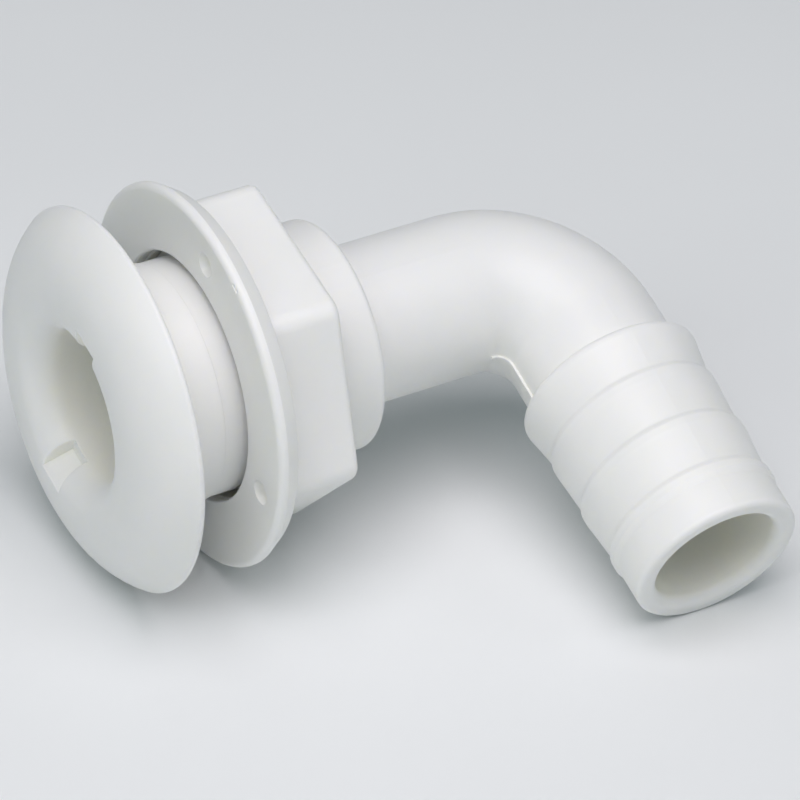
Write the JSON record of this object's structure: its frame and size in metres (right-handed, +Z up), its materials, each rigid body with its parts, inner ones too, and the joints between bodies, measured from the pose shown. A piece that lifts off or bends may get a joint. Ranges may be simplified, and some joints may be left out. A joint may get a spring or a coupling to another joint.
{
  "type": "thru hull fitting",
  "caption": "Plastic ninety-degree thru hull fitting with a domed flange, a flanged hexagonal clamping nut and a barbed hose tail.",
  "frame": {"origin": "centre of the flange's flat back face, where it meets the outside of the hull", "axes": "+X along the stem, from the flange into the boat; +Z up; the tail points along -Y and 17.45 degrees down, which puts its end level with the lowest points of the flange and of the nut. This is how the fitting is drawn, not a stable rest"},
  "size_m": [0.1053, 0.098, 0.066],
  "materials": {
    "body_plastic": "white moulded plastic, satin to gloss",
    "nut_plastic": "white moulded plastic, satin to gloss"
  },
  "bodies": {
    "fitting": {"fitting_body": "body_plastic"},
    "nut": {"flanged_nut": "nut_plastic"}
  },
  "joints": [
    {"name": "nut_travel", "type": "slide", "parent": "fitting", "child": "nut", "axis": [1, 0, 0], "range_m": [-0.0096, 0.0094]}
  ]
}
